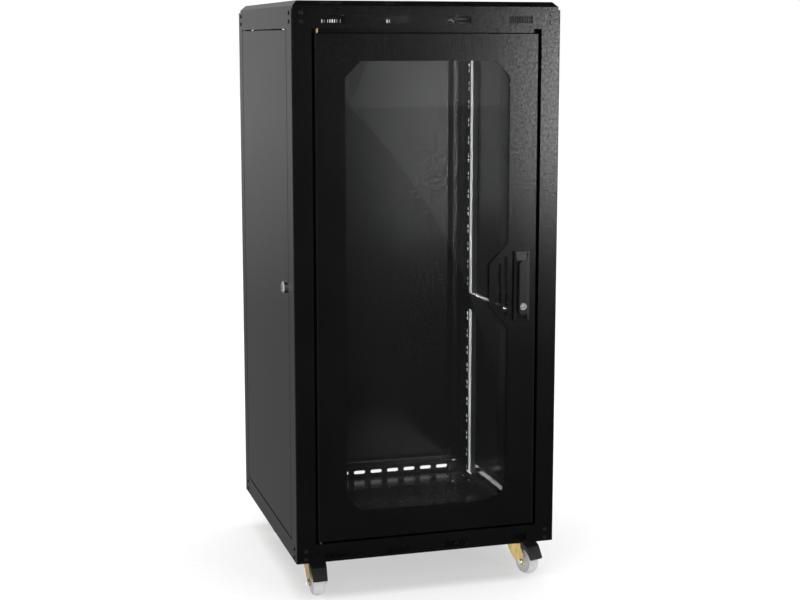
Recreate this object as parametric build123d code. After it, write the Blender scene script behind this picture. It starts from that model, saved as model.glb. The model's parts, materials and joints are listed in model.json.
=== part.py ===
from build123d import *
import math
import os

# Free-standing 19-inch server rack cabinet on casters.
# Millimetres. +Z is up with Z = 0 on the floor, the front faces -Y, and the origin is at the centre of the
# footprint. Heights that start with FRAME_Z are counted from the underside of the steel frame.

# ---- Overall size ----
WIDTH = 600.0
DEPTH = 600.0
POST_HEIGHT = 1200.0
FRAME_Z = 90.0
ROOF_HEIGHT = 17.0
HALF_W = WIDTH / 2
HALF_D = DEPTH / 2
TOP_Z = FRAME_Z + POST_HEIGHT

# ---- Folded steel frame ----
STEEL = 2.0
BEAM_H = 41.0
POST_FACE = 43.0
POST_SIDE_FRONT = 51.0
POST_SIDE_REAR = 42.0
POST_EDGE_R = 2.2
DOOR_REBATE = 22.0
DOOR_STOP = 11.0
PANEL_REBATE = 16.0
PANEL_STOP = 12.0
OPENING_X = HALF_W - POST_FACE
BEAM_STOP_X = OPENING_X - DOOR_STOP - 0.5
BEAM_FLANGE = 38.0
SIDE_BEAM_FLANGE = 27.0
TAB_END = 4.0
TAB_OVERLAP = 17.0

# ---- Ventilation and cable slots in the beams and the roof ----
VENT_CENTRES = (-209.0, -68.0, 68.0, 209.0)
VENT_COUNT = 10
VENT_PITCH = 5.45
VENT_W = 3.0
VENT_H = 15.0
VENT_TOP_Z = POST_HEIGHT - 21.5
VENT_BOTTOM_Z = 14.5
CABLE_SLOTS = 11
CABLE_SLOT_PITCH = 45.0
CABLE_SLOT_L = 30.0
CABLE_SLOT_W = 8.7
CABLE_SLOT_Z = 18.5

# ---- Roof pan ----
ROOF_INSET = 3.5
ROOF_BEVEL = 11.0
ROOF_SHEET = 1.5
ROOF_VENT_W = 2.6
ROOF_VENT_DROP = 4.0

# ---- Floor plate and its cable entry ----
FLOOR_SHEET = 2.0
FLOOR_HALF = 290.0
PAD_GAP = 0.5
ENTRY_HALF_X = 122.0
ENTRY_Y0 = 98.0
ENTRY_Y1 = 195.0
COVER_SHEET = 1.0
COVER_GAP = 0.2
COVER_HALF_X = 118.5
COVER_LAP = 5.0
COVER_TRAVEL = 95.0
GUIDE_W = 11.0
GUIDE_LIP = 7.0

# ---- 19-inch rails ----
UNITS = 25
U_PITCH = 44.45
U_HOLES = (6.35, 22.225, 38.1)
SQUARE_HOLE = 9.5
HOLE_X = 465.1 / 2
RAIL_INNER_X = 225.0
RAIL_OUTER_X = 252.0
RAIL_WEB = 22.0
RAIL_FACE_Y = 180.0
FRONT_RAIL_FACE_Y = -220.0
RAIL_Z0 = 43.0
RAIL_Z1 = POST_HEIGHT - 43.0
U_Z0 = (POST_HEIGHT - UNITS * U_PITCH) / 2
WEB_SLOT_H = 9.0
WEB_SLOT_W = 12.0
CARRIER_W = 39.0
CARRIER_FLANGE = 12.0
CARRIER_SHEET = 2.0
FOOT_W = 30.0

# ---- Mid-height side braces ----
BRACE_Z0 = 464.0
BRACE_Z1 = 505.0
BRACE_FLANGE = 14.0

# ---- Screws ----
SCREW_R = 2.5
SCREW_HEAD_R = 4.4
SCREW_HEAD_H = 1.8
SCREW_GRIP = 2 * STEEL
CORNER_SCREW_X = 279.5
CORNER_SCREW_Y = 26.0
CORNER_SCREW_Z = (8.0, 27.0, POST_HEIGHT - 27.0, POST_HEIGHT - 9.0)

# ---- Doors ----
DOOR_HALF_X = 250.0
DOOR_Z0 = 45.0
DOOR_Z1 = POST_HEIGHT - 50.0
DOOR_SHEET = 1.5
DOOR_FOLD = 18.0
DOOR_EDGE_R = 2.0
WINDOW_HALF_X = 185.0
WINDOW_Z0 = 107.0
WINDOW_Z1 = 1091.0
WINDOW_CHAMFER = 34.0
STEP_X = 140.0
STEP_Z = (504.0, 552.0, 645.0, 692.0)
GRIP_SLOTS = ((163.5, 9.0, 602.0, 92.0), (179.0, 7.0, 596.0, 132.0))
GLASS_LAP = 12.0
GLASS_SHEET = 4.0
GASKET_SHEET = 1.5
GASKET_INSET = 2.0

# ---- Hinge pins ----
DOOR_PIN_X = 244.0
DOOR_PIN_SETBACK = 8.0
DOOR_PIN_R = 3.0
DOOR_COLLAR_R = 4.2
PANEL_PIN_SETBACK = 5.0
PANEL_PIN_R = 2.5
PANEL_COLLAR_R = 3.5
COLLAR_L = 14.0
PIN_ENTRY = 5.0
RUNNING_GAP = 0.05

# ---- Side panels ----
PANEL_SHEET = 1.2
PANEL_FOLD = 14.0
PANEL_GAP = 2.5
PANEL_REAR_GAP = 3.0

# ---- Swing handle on the front door ----
HANDLE_X = 215.5
BEZEL_W = 37.0
BEZEL_Z0 = 517.0
BEZEL_Z1 = 674.0
BEZEL_H = 7.0
BEZEL_SLOPE = 6.0
LEVER_W = 20.0
LEVER_Z0 = 531.0
LEVER_Z1 = 654.0
LEVER_T = 9.0
LEVER_GAP = 0.3
LEVER_EDGE_R = 1.8
LEVER_PIN_Z = 642.0
LEVER_PIN_R = 1.5
LEVER_PIN_INSET = 0.3
LEVER_POCKET = (-9.0, 10.5)
LEVER_RELIEF = (1.0, 13.0, 8.4)
SPINDLE_R = 6.0
TONGUE_W = 8.0
TONGUE_R = 3.0
KEY_Z = 551.0
KEY_R = 8.0
KEY_PROUD = 0.6
KEY_DEPTH = 7.4
KEY_SLOT = (2.0, 8.4, 4.0)
CAM_SETBACK = 26.0
CAM_T = 3.0
CAM_W = 16.0
CAM_CLEAR = 1.0

# ---- Quarter-turn locks on the side panels and the rear door ----
LOCK_Z = 602.0
LOCK_EDGE = 37.0
LOCK_COLLAR_R = 13.5
LOCK_COLLAR_H = 8.0
LOCK_BODY_R = 9.5
LOCK_CORE_R = 6.0
LOCK_CORE_PROUD = 0.4
LOCK_BEVEL = 3.0
LOCK_SLOT = (1.8, 7.0, 8.0)
SIDE_LOCK_Y = -213.0
SIDE_LOCK_BODY = 16.0
REAR_LOCK_BODY = 20.0

# ---- Casters, in a frame whose origin is on the swivel axis at the underside of the floor ----
CASTER_X = 245.0
CASTER_Y = 220.0
CASTER_PLATE = 60.0
CASTER_PLATE_T = 3.0
CASTER_BOLT_PITCH = 44.0
BOLT_R = 3.0
BOLT_HEAD_R = 5.5
BOLT_HEAD_H = 4.0
RACE_R = 15.0
KINGPIN_R = 4.0
KINGPIN_RIM = 3.0
CROWN_Z = -9.0
CROWN_T = 3.0
RACE_END = CROWN_Z + 0.3
KINGPIN_END = CROWN_Z - CROWN_T - 3.2
KINGPIN_RIM_TOP = CROWN_Z - CROWN_T - 0.2
FORK_IN = 15.5
FORK_T = 2.5
FORK_HALF_L = 25.0
TRAIL = 36.0
AXLE_Z = -59.0
AXLE_R = 4.0
LOBE_R = 9.0
CHEEK_TOE = ((-30.5, -66.1), (-44.9, -57.5))
CHEEK_BULGE = (4.0, -46.0)
CHEEK_FRONT = ((-43.0, -38.0), (-31.0, -16.0))
WHEEL_R = 31.0
WHEEL_HALF_W = 13.0
WHEEL_HUB_HALF = 14.5
NUT_R = 6.6
NUT_H = 5.0
NUT_BEVEL = 0.7
TREAD_DROP = 5.0
PEDAL_PIVOT = (24.0, -18.0)
PEDAL_PIN_R = 2.5
PEDAL_GAP = 3.5
PEDAL_TOP = ((-44.0, -13.5), (-58.0, -21.0), (-72.5, -43.0), (-71.5, -48.0))
PEDAL_BACK = (8.0, -4.0, 3.6)
PEDAL_SIDE_GAP = 0.6
HOOD_EDGE = ((-36.0, 0.0), (-36.0, -14.0), (-47.5, -37.0), (-51.5, -58.0))
PEDAL_W_TOP = 39.0
PEDAL_W_LIP = 32.0
CASTER_TURN = {"front_left": 0.0, "front_right": 17.0, "rear_left": 12.0, "rear_right": -25.0}

parts = {}


def block(x0, x1, y0, y1, z0, z1):
    """Box between two corners."""
    centre = Pos((x0 + x1) / 2, (y0 + y1) / 2, (z0 + z1) / 2)
    return centre * Box(abs(x1 - x0), abs(y1 - y0), abs(z1 - z0))


def plate_xz(sketch, y0, thickness):
    """Sheet standing across the cabinet: the sketch's axes are X and Z."""
    return Pos(0, y0, 0) * extrude(Plane.XZ * sketch, amount=-thickness)


def plate_yz(sketch, x0, thickness):
    """Sheet standing along the cabinet: the sketch's axes are Y and Z."""
    return Pos(x0, 0, 0) * extrude(Plane.YZ * sketch, amount=thickness)


def rod(centre, axis, radius, start, end):
    """Cylinder along X, Y or Z through a point, between two values of that coordinate."""
    turn = {"X": Rot(0, 90, 0), "Y": Rot(-90, 0, 0), "Z": Rot(0, 0, 0)}[axis]
    place = list(centre)
    place["XYZ".index(axis)] = (start + end) / 2
    return Pos(*place) * turn * Cylinder(radius, abs(end - start))


def in_quadrant(piece, side_x, side_y):
    """Copy of a piece drawn for +X, +Y, mirrored to the quadrant with the given signs."""
    if side_x < 0:
        piece = mirror(piece, Plane.YZ)
    if side_y < 0:
        piece = mirror(piece, Plane.XZ)
    return piece


def quadrant_name(side_x, side_y):
    return ("front" if side_y < 0 else "rear") + "_" + ("left" if side_x < 0 else "right")


QUADRANTS = [(-1, -1), (1, -1), (-1, 1), (1, 1)]


# ---- Corner posts ----
def post(side_depth):
    """Folded post for the +X, +Y corner, open towards the inside, with both rebates."""
    side_y = HALF_D - side_depth
    z0, z1 = FRAME_Z, TOP_Z
    body = block(OPENING_X, HALF_W, HALF_D - STEEL, HALF_D, z0, z1)
    body += block(HALF_W - STEEL, HALF_W, side_y, HALF_D, z0, z1)
    edge = body.edges().filter_by(Axis.Z).sort_by(lambda e: (e @ 0.5).X + (e @ 0.5).Y)[-1]
    body = fillet(edge, POST_EDGE_R)
    z0, z1 = FRAME_Z + BEAM_H, TOP_Z - BEAM_H
    stop_y = HALF_D - DOOR_REBATE - STEEL
    body += block(OPENING_X, OPENING_X + STEEL, stop_y, HALF_D - STEEL, z0, z1)
    body += block(OPENING_X - DOOR_STOP, OPENING_X + STEEL, stop_y, stop_y + STEEL, z0, z1)
    stop_x = HALF_W - PANEL_REBATE - STEEL
    body += block(stop_x, HALF_W - STEEL, side_y, side_y + STEEL, z0, z1)
    body += block(stop_x, stop_x + STEEL, side_y - PANEL_STOP, side_y + STEEL, z0, z1)
    for height in CORNER_SCREW_Z:
        z = FRAME_Z + height
        body -= rod((CORNER_SCREW_X, 0, z), "Y", SCREW_R, HALF_D - 2 * STEEL, HALF_D + STEEL)
        body -= rod((0, HALF_D - CORNER_SCREW_Y, z), "X", SCREW_R, HALF_W - 2 * STEEL, HALF_W + STEEL)
    return body


for sx, sy in QUADRANTS:
    depth = POST_SIDE_FRONT if sy < 0 else POST_SIDE_REAR
    parts["post_" + quadrant_name(sx, sy)] = in_quadrant(post(depth), sx, sy)


# ---- Front and rear beams ----
def vent_groups(height, width, z):
    """Four groups of upright slots in one row, as a sketch in X and Z."""
    start = -(VENT_COUNT - 1) / 2 * VENT_PITCH
    places = [Pos(c + start + i * VENT_PITCH, z) for c in VENT_CENTRES for i in range(VENT_COUNT)]
    return Sketch() + [place * Rectangle(width, height) for place in places]


def cross_beam(z0, openings):
    """Channel between two posts at the +Y side, with a door stop and end tabs behind the posts' faces."""
    z1 = z0 + BEAM_H
    face = Pos(0, (z0 + z1) / 2) * Rectangle(2 * OPENING_X, BEAM_H) - openings
    body = plate_xz(face, HALF_D - STEEL, STEEL)
    for z in (z0, z1 - STEEL):
        body += block(-OPENING_X, OPENING_X, HALF_D - BEAM_FLANGE, HALF_D - STEEL, z, z + STEEL)
    stop_z = (z1 - STEEL, z1 + DOOR_STOP) if z0 == FRAME_Z else (z0 - DOOR_STOP, z0 + STEEL)
    stop_y = HALF_D - DOOR_REBATE - STEEL
    body += block(-BEAM_STOP_X, BEAM_STOP_X, stop_y, stop_y + STEEL, *stop_z)
    for sx in (-1, 1):
        x_in, x_out = sx * (OPENING_X - TAB_OVERLAP), sx * (HALF_W - TAB_END)
        tab = block(x_in, x_out, HALF_D - 2 * STEEL, HALF_D - STEEL, z0 + STEEL, z1 - STEEL)
        for height in CORNER_SCREW_Z:
            place = (sx * CORNER_SCREW_X, 0, FRAME_Z + height)
            tab -= rod(place, "Y", SCREW_R, HALF_D - 3 * STEEL, HALF_D)
        body += tab
    return body


def door_pin_holes(body, side_x):
    """Running holes for a door's pin, through the flange next to the door."""
    place = (side_x * DOOR_PIN_X, HALF_D - DOOR_PIN_SETBACK, 0)
    for z in (FRAME_Z + BEAM_H - STEEL, TOP_Z - BEAM_H):
        body -= rod(place, "Z", DOOR_PIN_R + RUNNING_GAP, z - 1, z + STEEL + 1)
    return body


cable_slots = Sketch() + [
    Pos((i - (CABLE_SLOTS - 1) / 2) * CABLE_SLOT_PITCH, FRAME_Z + CABLE_SLOT_Z)
    * SlotOverall(CABLE_SLOT_L, CABLE_SLOT_W)
    for i in range(CABLE_SLOTS)
]
low_vents = vent_groups(VENT_H, VENT_W, FRAME_Z + VENT_BOTTOM_Z)
high_vents = vent_groups(VENT_H, VENT_W, FRAME_Z + VENT_TOP_Z)
TOP_BEAM_Z = TOP_Z - BEAM_H
beams = {
    "beam_front_bottom": (FRAME_Z, low_vents, -1, -1),
    "beam_front_top": (TOP_BEAM_Z, high_vents, -1, -1),
    "beam_rear_bottom": (FRAME_Z, cable_slots, 1, 1),
    "beam_rear_top": (TOP_BEAM_Z, high_vents, 1, 1),
}
for name, (z, openings, hinge_side, sy) in beams.items():
    beam = door_pin_holes(cross_beam(z, openings), hinge_side)
    parts[name] = in_quadrant(beam, 1, sy)


# ---- Side beams ----
PANEL_Y0 = -HALF_D + POST_SIDE_FRONT + PANEL_GAP
PANEL_Y1 = HALF_D - POST_SIDE_REAR - PANEL_REAR_GAP
PANEL_PIN_Y = PANEL_Y1 - PANEL_PIN_SETBACK
CARRIER_REAR = (RAIL_FACE_Y - CARRIER_W, RAIL_FACE_Y - STEEL)
CARRIER_FRONT = (FRONT_RAIL_FACE_Y + STEEL, FRONT_RAIL_FACE_Y + CARRIER_W)
FOOT_X = HALF_W - SIDE_BEAM_FLANGE + 5.5
FOOT_SCREW_Y = (RAIL_FACE_Y - CARRIER_W + 15.0, FRONT_RAIL_FACE_Y + CARRIER_W - 15.0)


def side_beam(z0):
    """Channel between the posts at the +X side, with end tabs behind the posts' side faces."""
    z1 = z0 + BEAM_H
    y0, y1 = -HALF_D + POST_SIDE_FRONT, HALF_D - POST_SIDE_REAR
    pin = (HALF_W - PANEL_PIN_SETBACK, PANEL_PIN_Y, 0)
    body = block(HALF_W - STEEL, HALF_W, y0, y1, z0, z1)
    for z in (z0, z1 - STEEL):
        body += block(HALF_W - SIDE_BEAM_FLANGE, HALF_W - STEEL, y0, y1, z, z + STEEL)
    for sy, near in ((-1, y0), (1, y1)):
        y_in, y_out = near - sy * TAB_OVERLAP, sy * (HALF_D - 2 * TAB_END)
        tab = block(HALF_W - 2 * STEEL, HALF_W - STEEL, y_in, y_out, z0 + STEEL, z1 - STEEL)
        for height in CORNER_SCREW_Z:
            place = (0, sy * (HALF_D - CORNER_SCREW_Y), FRAME_Z + height)
            tab -= rod(place, "X", SCREW_R, HALF_W - 3 * STEEL, HALF_W)
        body += tab - rod(pin, "Z", PANEL_COLLAR_R, z0, z1)
    inner_z = z1 - STEEL if z0 == FRAME_Z else z0
    body -= rod(pin, "Z", PANEL_PIN_R + RUNNING_GAP, inner_z - 1, inner_z + STEEL + 1)
    for y in FOOT_SCREW_Y:
        body -= rod((FOOT_X, y, 0), "Z", SCREW_R, inner_z - 1, inner_z + STEEL + 1)
    return body


for level, z in (("bottom", FRAME_Z), ("top", TOP_BEAM_Z)):
    parts["beam_right_" + level] = side_beam(z)
    parts["beam_left_" + level] = in_quadrant(side_beam(z), -1, 1)


# ---- Roof pan ----
def roof_cover():
    half = HALF_W - ROOF_INSET
    body = block(-half, half, -half, half, TOP_Z, TOP_Z + ROOF_HEIGHT)
    body = chamfer(body.faces().sort_by(Axis.Z)[-1].edges(), ROOF_BEVEL)
    inner = half - ROOF_SHEET
    hollow = block(-inner, inner, -inner, inner, TOP_Z - 1, TOP_Z + ROOF_HEIGHT - ROOF_SHEET)
    hollow = chamfer(hollow.faces().sort_by(Axis.Z)[-1].edges(), ROOF_BEVEL)
    body -= hollow
    vents = vent_groups(2 * ROOF_VENT_DROP, ROOF_VENT_W, TOP_Z + ROOF_HEIGHT - ROOF_VENT_DROP)
    return body - plate_xz(vents, -HALF_D, 2 * ROOF_BEVEL - 2.0)


parts["roof_cover"] = roof_cover()


# ---- Floor plate with its cable entry, and the sliding cover under it ----
FLOOR_Z = FRAME_Z + STEEL
COVER_TOP = FLOOR_Z - COVER_GAP
COVER_LOW = COVER_TOP - COVER_SHEET


def caster_bolt_places():
    half = CASTER_BOLT_PITCH / 2
    return [(x, y) for x in (-half, half) for y in (-half, half)]


def floor_plate():
    body = block(-FLOOR_HALF, FLOOR_HALF, -FLOOR_HALF, FLOOR_HALF, FLOOR_Z, FLOOR_Z + FLOOR_SHEET)
    pad = CASTER_PLATE / 2 + TAB_END
    pad_x0, pad_x1 = CASTER_X - pad, HALF_W - SIDE_BEAM_FLANGE - PAD_GAP
    for sx, sy in QUADRANTS:
        y = sy * CASTER_Y
        body += block(sx * pad_x0, sx * pad_x1, y - pad, y + pad, FRAME_Z, FLOOR_Z)
    guide_end = COVER_HALF_X + COVER_GAP
    guide_y0 = ENTRY_Y0 - COVER_LAP - COVER_TRAVEL
    guide_y1 = ENTRY_Y1 + COVER_LAP
    for sx in (-1, 1):
        wall = block(sx * guide_end, sx * (guide_end + GUIDE_W), guide_y0, guide_y1,
                     COVER_LOW - COVER_GAP, FLOOR_Z)
        lip = block(sx * (guide_end - GUIDE_LIP), sx * (guide_end + GUIDE_W), guide_y0, guide_y1,
                    COVER_LOW - COVER_GAP - COVER_SHEET, COVER_LOW - COVER_GAP)
        body += wall + lip
    body -= block(-ENTRY_HALF_X, ENTRY_HALF_X, ENTRY_Y0, ENTRY_Y1, COVER_LOW, FLOOR_Z + FLOOR_SHEET + 1)
    for sx, sy in QUADRANTS:
        for dx, dy in caster_bolt_places():
            place = (sx * CASTER_X + dx, sy * CASTER_Y + dy, 0)
            body -= rod(place, "Z", BOLT_R, FRAME_Z - 1, FLOOR_Z + FLOOR_SHEET + 1)
    return body


parts["floor_plate"] = floor_plate()
parts["cable_entry_cover"] = block(-COVER_HALF_X, COVER_HALF_X, ENTRY_Y0 - COVER_LAP, ENTRY_Y1 + COVER_LAP,
                                   COVER_LOW, COVER_TOP)


# ---- 19-inch rails, their carrier strips and the side braces ----
def rail_screw_places():
    """Heights of the screws that join a rail to its carriers and brace, between the web's slots."""
    middles = [FRAME_Z + U_Z0 + (u + 0.5) * U_PITCH for u in (2, 7, 14, 19, 23)]
    return middles + [FRAME_Z + BRACE_Z0 + 7.0]


def rear_right_rail():
    """Angle with square holes in its face and paired slots in its web, which runs forward."""
    z0, z1 = FRAME_Z + RAIL_Z0, FRAME_Z + RAIL_Z1
    width = RAIL_OUTER_X - RAIL_INNER_X
    face = Pos(RAIL_INNER_X + width / 2, (z0 + z1) / 2) * Rectangle(width, z1 - z0)
    web_y = RAIL_FACE_Y + STEEL - RAIL_WEB / 2
    web = Pos(web_y, (z0 + z1) / 2) * Rectangle(RAIL_WEB, z1 - z0)
    slot_y = RAIL_FACE_Y - RAIL_WEB / 2 + 1.0
    holes = []
    slots = []
    for unit in range(UNITS):
        base = FRAME_Z + U_Z0 + unit * U_PITCH
        holes += [Pos(HOLE_X, base + h) * Rectangle(SQUARE_HOLE, SQUARE_HOLE) for h in U_HOLES]
        slots += [Pos(slot_y, base + h) * Rectangle(WEB_SLOT_W, WEB_SLOT_H) for h in U_HOLES[::2]]
    face -= Sketch() + holes
    web -= Sketch() + slots
    body = plate_xz(face, RAIL_FACE_Y, STEEL) + plate_yz(web, RAIL_OUTER_X - STEEL, STEEL)
    for z in rail_screw_places():
        body -= rod((0, RAIL_FACE_Y - 10.0, z), "X", SCREW_R, RAIL_OUTER_X - 2 * STEEL, RAIL_OUTER_X + 1)
    return body


def rear_right_carriers():
    """Two bright strips behind the rail's web, above and below the brace, with feet on the side beams."""
    x0 = RAIL_OUTER_X
    y0, y1 = CARRIER_REAR
    strips = []
    spans = ((FRAME_Z + BEAM_H, FRAME_Z + BRACE_Z0 - 0.5, -1), (FRAME_Z + BRACE_Z1 + 0.5, TOP_BEAM_Z, 1))
    for z0, z1, end in spans:
        strip = block(x0, x0 + CARRIER_SHEET, y0, y1, z0, z1)
        strip += block(x0, x0 + CARRIER_FLANGE, y0, y0 + CARRIER_SHEET, z0, z1)
        foot_z = z0 if end < 0 else z1 - CARRIER_SHEET
        strip += block(x0, HALF_W - 6.0, y0, y0 + FOOT_W, foot_z, foot_z + CARRIER_SHEET)
        strip -= rod((FOOT_X, FOOT_SCREW_Y[0], 0), "Z", SCREW_R, foot_z - 1, foot_z + CARRIER_SHEET + 1)
        for z in rail_screw_places():
            strip -= rod((0, RAIL_FACE_Y - 10.0, z), "X", SCREW_R, x0 - 1, x0 + CARRIER_SHEET + 1)
        strips.append(strip)
    return strips


def at_rail(piece, side_x, rear):
    """A rear right piece, put at one of the four rails. Front rails are turned to face the front."""
    if not rear:
        piece = Pos(0, RAIL_FACE_Y + FRONT_RAIL_FACE_Y, 0) * mirror(piece, Plane.XZ)
    return in_quadrant(piece, side_x, 1)


RAILS = [(-1, False), (1, False), (-1, True), (1, True)]
carriers = []
for sx, rear in RAILS:
    parts["rack_rail_" + quadrant_name(sx, 1 if rear else -1)] = at_rail(rear_right_rail(), sx, rear)
    carriers += [at_rail(strip, sx, rear) for strip in rear_right_carriers()]
parts["rail_carriers"] = Compound(children=carriers)


def side_brace():
    """Channel along the +X side, outside the rails' webs."""
    x0, x1 = RAIL_OUTER_X, RAIL_OUTER_X + BRACE_FLANGE
    y0, y1 = CARRIER_FRONT[0], CARRIER_REAR[1]
    z0, z1 = FRAME_Z + BRACE_Z0, FRAME_Z + BRACE_Z1
    body = block(x0, x0 + STEEL, y0, y1, z0, z1)
    for z in (z0, z1 - STEEL):
        body += block(x0, x1, y0, y1, z, z + STEEL)
    for y in (FRONT_RAIL_FACE_Y + 10.0, RAIL_FACE_Y - 10.0):
        body -= rod((0, y, rail_screw_places()[-1]), "X", SCREW_R, x0 - 1, x0 + STEEL + 1)
    return body


parts["side_braces"] = Compound(children=[side_brace(), in_quadrant(side_brace(), -1, 1)])


# ---- Pan-head screws, all the same size ----
def pan_screw():
    """Screw along Z: the head's underside at 0, the cross recess on top, the shank below."""
    head = Pos(0, 0, SCREW_HEAD_H / 2) * Cylinder(SCREW_HEAD_R, SCREW_HEAD_H)
    head = fillet(head.faces().sort_by(Axis.Z)[-1].edges(), 1.0)
    shank = Pos(0, 0, -SCREW_GRIP / 2) * Cylinder(SCREW_R, SCREW_GRIP)
    recess = Box(1.0, 4.2, 1.6) + Box(4.2, 1.0, 1.6)
    return head + shank - Pos(0, 0, SCREW_HEAD_H) * recess


def screws():
    screw = pan_screw()
    placed = []
    for sx, sy in QUADRANTS:
        for height in CORNER_SCREW_Z:
            z = FRAME_Z + height
            face = Pos(sx * CORNER_SCREW_X, sy * HALF_D, z) * Rot(-90 * sy, 0, 0)
            side = Pos(sx * HALF_W, sy * (HALF_D - CORNER_SCREW_Y), z) * Rot(0, 90 * sx, 0)
            placed += [face * screw, side * screw]
    for sx, rear in RAILS:
        y = RAIL_FACE_Y - 10.0 if rear else FRONT_RAIL_FACE_Y + 10.0
        for z in rail_screw_places():
            placed.append(Pos(sx * (RAIL_OUTER_X - STEEL), y, z) * Rot(0, -90 * sx, 0) * screw)
        foot_y = FOOT_SCREW_Y[0 if rear else 1]
        low, high = FRAME_Z + BEAM_H + CARRIER_SHEET, TOP_BEAM_Z - CARRIER_SHEET
        placed.append(Pos(sx * FOOT_X, foot_y, low) * screw)
        placed.append(Pos(sx * FOOT_X, foot_y, high) * Rot(180, 0, 0) * screw)
    return placed


parts["frame_screws"] = Compound(children=screws())


# ---- Folded doors ----
def folded_tray(half_x, z0, z1, fold, sheet, edge_r):
    """Shallow tray whose face is at Y = 0 and whose edges are folded back towards +Y."""
    body = block(-half_x, half_x, 0, fold, z0, z1)
    body = fillet(body.faces().sort_by(Axis.Y)[0].edges(), edge_r)
    return body - block(-half_x + sheet, half_x - sheet, sheet, fold + 1, z0 + sheet, z1 - sheet)


def window_outline():
    x, c = WINDOW_HALF_X, WINDOW_CHAMFER
    z0, z1 = FRAME_Z + WINDOW_Z0, FRAME_Z + WINDOW_Z1
    s0, s1, s2, s3 = (FRAME_Z + s for s in STEP_Z)
    points = [(c - x, z0), (x - c, z0), (x, z0 + c), (x, s0), (STEP_X, s1), (STEP_X, s2), (x, s3),
              (x, z1 - c), (x - c, z1), (c - x, z1), (-x, z1 - c), (-x, z0 + c)]
    return make_face(Polyline(*points, close=True))


DOOR_PIN_Y = -HALF_D + DOOR_PIN_SETBACK
DOOR_TOP = FRAME_Z + DOOR_Z1
DOOR_LOW = FRAME_Z + DOOR_Z0


def door_tray():
    """Front door without its openings."""
    tray = folded_tray(DOOR_HALF_X, DOOR_LOW, DOOR_TOP, DOOR_FOLD, DOOR_SHEET, DOOR_EDGE_R)
    return Pos(0, -HALF_D, 0) * tray


def front_door():
    body = door_tray()
    openings = window_outline()
    for x, w, z, h in GRIP_SLOTS:
        openings += Pos(x, FRAME_Z + z) * RectangleRounded(w, h, 1.5)
    body -= plate_xz(openings, -HALF_D - 1, DOOR_SHEET + 2)
    body -= rod((-DOOR_PIN_X, DOOR_PIN_Y, 0), "Z", DOOR_PIN_R, DOOR_LOW - 1, DOOR_TOP + 1)
    spindle = (HANDLE_X, 0, FRAME_Z + LEVER_PIN_Z)
    return body - rod(spindle, "Y", SPINDLE_R + RUNNING_GAP, -HALF_D - 1, -HALF_D + DOOR_SHEET + 1)


def rear_door():
    body = mirror(door_tray(), Plane.XZ)
    body -= rod((DOOR_PIN_X, -DOOR_PIN_Y, 0), "Z", DOOR_PIN_R, DOOR_LOW - 1, DOOR_TOP + 1)
    lock = (-DOOR_HALF_X + LOCK_EDGE, 0, FRAME_Z + LOCK_Z)
    return body - rod(lock, "Y", LOCK_BODY_R, HALF_D - DOOR_SHEET - 1, HALF_D + 1)


def hinge_pins(x, y, radius, collar_r, low, high, sheet, gap):
    """Top and bottom pins of one leaf, each with a collar inside the leaf's folded edge."""
    reach = gap + STEEL + PIN_ENTRY
    pins = []
    for edge, out in ((low, -1), (high, 1)):
        inner = edge - out * sheet
        pin = rod((x, y, 0), "Z", radius, inner - out * (COLLAR_L + 8.0), edge + out * reach)
        pins.append(pin + rod((x, y, 0), "Z", collar_r, inner - out * COLLAR_L, inner))
    return Compound(children=pins)


parts["front_door_frame"] = front_door()
parts["rear_door_panel"] = rear_door()
top_gap = TOP_BEAM_Z - DOOR_TOP
door_pin_args = (DOOR_PIN_R, DOOR_COLLAR_R, DOOR_LOW, DOOR_TOP, DOOR_SHEET, top_gap - STEEL)
parts["front_hinge_pins"] = hinge_pins(-DOOR_PIN_X, DOOR_PIN_Y, *door_pin_args)
parts["rear_hinge_pins"] = hinge_pins(DOOR_PIN_X, -DOOR_PIN_Y, *door_pin_args)

glass_y = -HALF_D + DOOR_SHEET + GASKET_SHEET
glass_mid = FRAME_Z + (WINDOW_Z0 + WINDOW_Z1) / 2
glass_outline = Pos(0, glass_mid) * Rectangle(2 * (WINDOW_HALF_X + GLASS_LAP),
                                              WINDOW_Z1 - WINDOW_Z0 + 2 * GLASS_LAP)
parts["front_door_glass"] = plate_xz(glass_outline, glass_y, GLASS_SHEET)
gasket_hole = Pos(0, glass_mid) * Rectangle(2 * (WINDOW_HALF_X + GASKET_INSET),
                                            WINDOW_Z1 - WINDOW_Z0 + 2 * GASKET_INSET)
parts["glass_gasket"] = plate_xz(glass_outline - gasket_hole, -HALF_D + DOOR_SHEET, GASKET_SHEET)


# ---- Swing handle ----
BEZEL_Y = -HALF_D - BEZEL_H
LEVER_Y0 = BEZEL_Y - LEVER_GAP
LEVER_PIN_Y = LEVER_Y0 - LEVER_T / 2
SPINDLE_Z = FRAME_Z + LEVER_PIN_Z
CAM_Y0 = -HALF_D + CAM_SETBACK


def handle_bezel():
    mid = FRAME_Z + (BEZEL_Z0 + BEZEL_Z1) / 2
    height = BEZEL_Z1 - BEZEL_Z0
    base = Plane.XZ.offset(HALF_D) * (Pos(HANDLE_X, mid) * RectangleRounded(BEZEL_W, height, 3.0))
    crest = RectangleRounded(BEZEL_W - 2 * BEZEL_SLOPE, height - 2 * BEZEL_SLOPE, 2.0)
    crest = Plane.XZ.offset(HALF_D + BEZEL_H) * (Pos(HANDLE_X, mid) * crest)
    body = loft([base, crest])
    return body - rod((HANDLE_X, 0, SPINDLE_Z), "Y", SPINDLE_R + RUNNING_GAP, BEZEL_Y - 1, -HALF_D + 1)


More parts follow.
